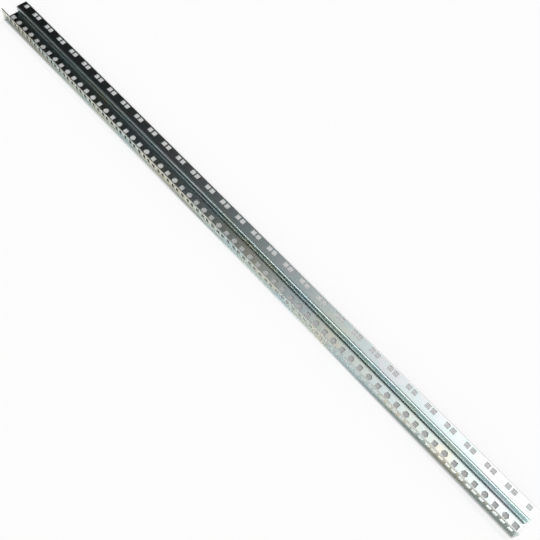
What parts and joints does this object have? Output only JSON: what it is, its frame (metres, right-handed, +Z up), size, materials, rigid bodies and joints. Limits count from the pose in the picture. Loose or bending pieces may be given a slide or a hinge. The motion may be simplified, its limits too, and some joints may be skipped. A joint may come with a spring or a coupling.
{
  "type": "rack mounting rail",
  "caption": "Long folded sheet-steel rack rail, zinc plated, with rows of square and hexagon holes at rack-unit spacing in its web, front wall and stepped flange.",
  "frame": {"origin": "middle of the rail's box, on the plane that the web's underside lies on", "axes": "+X along the rail, +Y from the front wall toward the flange, +Z up, away from the floor"},
  "size_m": [1.438, 0.059, 0.03],
  "materials": {
    "zinc_plated_steel": "bright zinc plate with a thin clear passivation, slightly blurred reflections"
  },
  "bodies": {
    "root": {"rack_rail": "zinc_plated_steel"}
  },
  "joints": []
}
